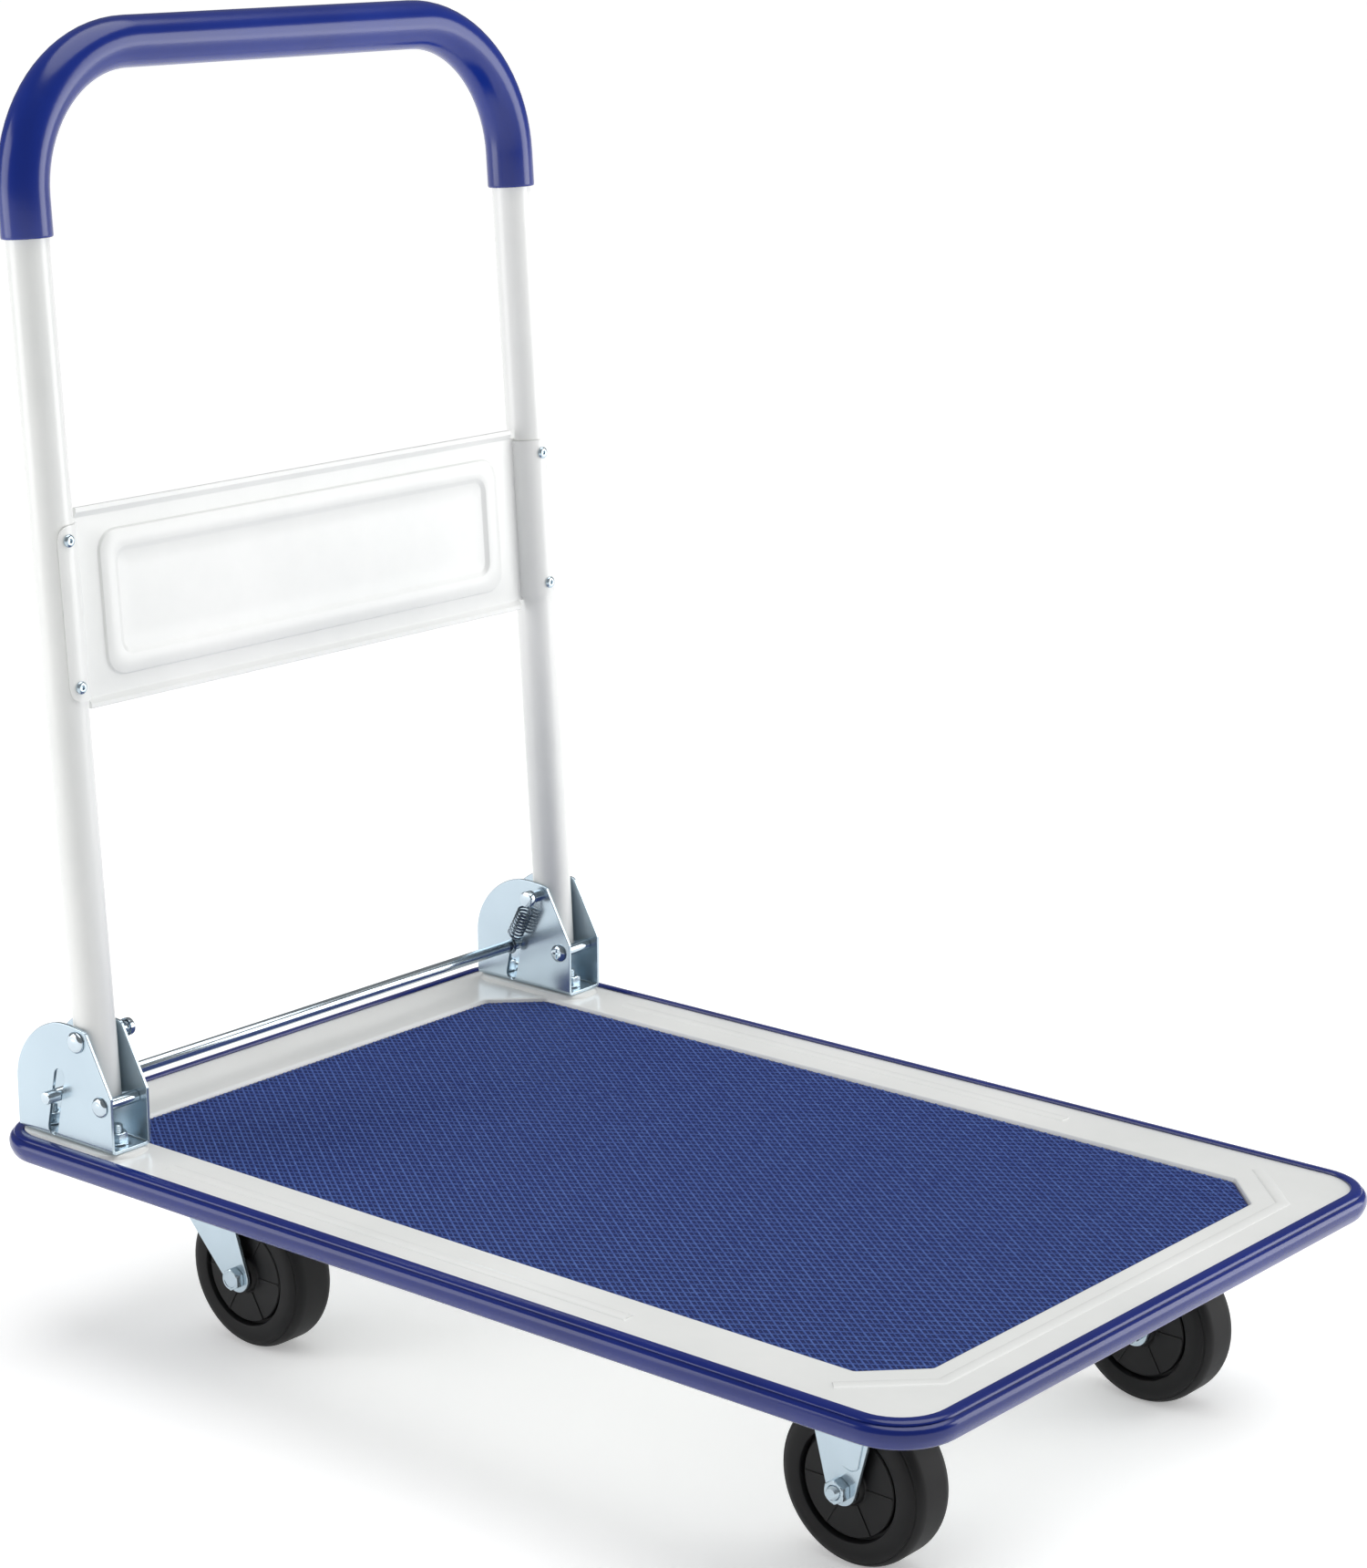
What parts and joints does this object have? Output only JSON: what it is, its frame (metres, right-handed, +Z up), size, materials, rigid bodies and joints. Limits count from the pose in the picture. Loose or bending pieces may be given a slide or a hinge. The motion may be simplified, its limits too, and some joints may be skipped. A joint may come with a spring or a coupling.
{
  "type": "folding platform cart",
  "caption": "Folding platform hand cart: padded steel deck with edge bumper, tubular handle that folds flat over the deck, swivel casters behind and rigid casters in front.",
  "frame": {"origin": "on the floor, under the middle of the overall box", "axes": "+X towards the nose of the deck, away from the handle; +Y to the left; +Z up"},
  "size_m": [0.7406, 0.4878, 0.8296],
  "materials": {
    "white_paint": "glossy white powder coat",
    "blue_vinyl": "smooth royal blue soft vinyl",
    "mat_vinyl": "blue non-slip vinyl with a fine diamond weave",
    "zinc": "bright zinc plating with a cool tint",
    "black_plastic": "satin black moulded plastic",
    "black_rubber": "matte black rubber tread"
  },
  "bodies": {
    "deck": {"deck_plate": "white_paint", "deck_mat": "mat_vinyl", "bumper": "blue_vinyl", "cross_rail_front": "white_paint", "cross_rail_rear": "white_paint", "hinge_bracket_left": "zinc", "pivot_pin_left": "zinc", "stop_pin_left": "zinc", "stop_sleeve_left": "zinc", "bracket_bolt_front_left": "zinc", "bracket_bolt_rear_left": "zinc", "return_spring_left": "zinc", "rear_caster_plate_left": "zinc", "king_pin_left": "zinc", "front_fork_left": "zinc", "front_axle_bolt_left": "zinc", "front_axle_nut_left": "zinc", "hinge_bracket_right": "zinc", "pivot_pin_right": "zinc", "stop_pin_right": "zinc", "stop_sleeve_right": "zinc", "bracket_bolt_front_right": "zinc", "bracket_bolt_rear_right": "zinc", "return_spring_right": "zinc", "rear_caster_plate_right": "zinc", "king_pin_right": "zinc", "front_fork_right": "zinc", "front_axle_bolt_right": "zinc", "front_axle_nut_right": "zinc"},
    "handle": {"handle_tube": "white_paint", "grip_sleeve": "blue_vinyl", "handle_panel": "white_paint", "panel_rivet_upper_left": "zinc", "panel_rivet_lower_left": "zinc", "panel_rivet_upper_right": "zinc", "panel_rivet_lower_right": "zinc"},
    "release_bar": {"release_bar": "zinc"},
    "swivel_left": {"rear_fork_left": "zinc", "rear_axle_bolt_left": "zinc", "rear_axle_nut_left": "zinc"},
    "rear_wheel_left": {"rear_hub_left": "black_plastic", "rear_tyre_left": "black_rubber"},
    "front_wheel_left": {"front_hub_left": "black_plastic", "front_tyre_left": "black_rubber"},
    "swivel_right": {"rear_fork_right": "zinc", "rear_axle_bolt_right": "zinc", "rear_axle_nut_right": "zinc"},
    "rear_wheel_right": {"rear_hub_right": "black_plastic", "rear_tyre_right": "black_rubber"},
    "front_wheel_right": {"front_hub_right": "black_plastic", "front_tyre_right": "black_rubber"}
  },
  "joints": [
    {"name": "handle_fold", "type": "hinge", "parent": "deck", "child": "handle", "pos_m": [-0.2923, 0, 0.2063], "axis": [0, 1, 0], "range_deg": [0, 93.5]},
    {"name": "release_bar_press", "type": "slide", "parent": "deck", "child": "release_bar", "axis": [-0.2189, 0, -0.9757], "range_m": [0, 0.022], "stiffness_N_per_m": 400, "springref_m": -0.012, "deforming": ["return_spring_left", "return_spring_right"]},
    {"name": "swivel_turn_left", "type": "hinge", "parent": "deck", "child": "swivel_left", "pos_m": [-0.256, 0.1456, 0.108], "axis": [0, 0, 1], "continuous": true},
    {"name": "swivel_turn_right", "type": "hinge", "parent": "deck", "child": "swivel_right", "pos_m": [-0.256, -0.1456, 0.108], "axis": [0, 0, 1], "continuous": true},
    {"name": "rear_wheel_spin_left", "type": "hinge", "parent": "swivel_left", "child": "rear_wheel_left", "pos_m": [-0.22, 0.1456, 0.0495], "axis": [0, 1, 0], "continuous": true},
    {"name": "front_wheel_spin_left", "type": "hinge", "parent": "deck", "child": "front_wheel_left", "pos_m": [0.2645, 0.1456, 0.0495], "axis": [0, 1, 0], "continuous": true},
    {"name": "rear_wheel_spin_right", "type": "hinge", "parent": "swivel_right", "child": "rear_wheel_right", "pos_m": [-0.22, -0.1456, 0.0495], "axis": [0, 1, 0], "continuous": true},
    {"name": "front_wheel_spin_right", "type": "hinge", "parent": "deck", "child": "front_wheel_right", "pos_m": [0.2645, -0.1456, 0.0495], "axis": [0, 1, 0], "continuous": true}
  ]
}
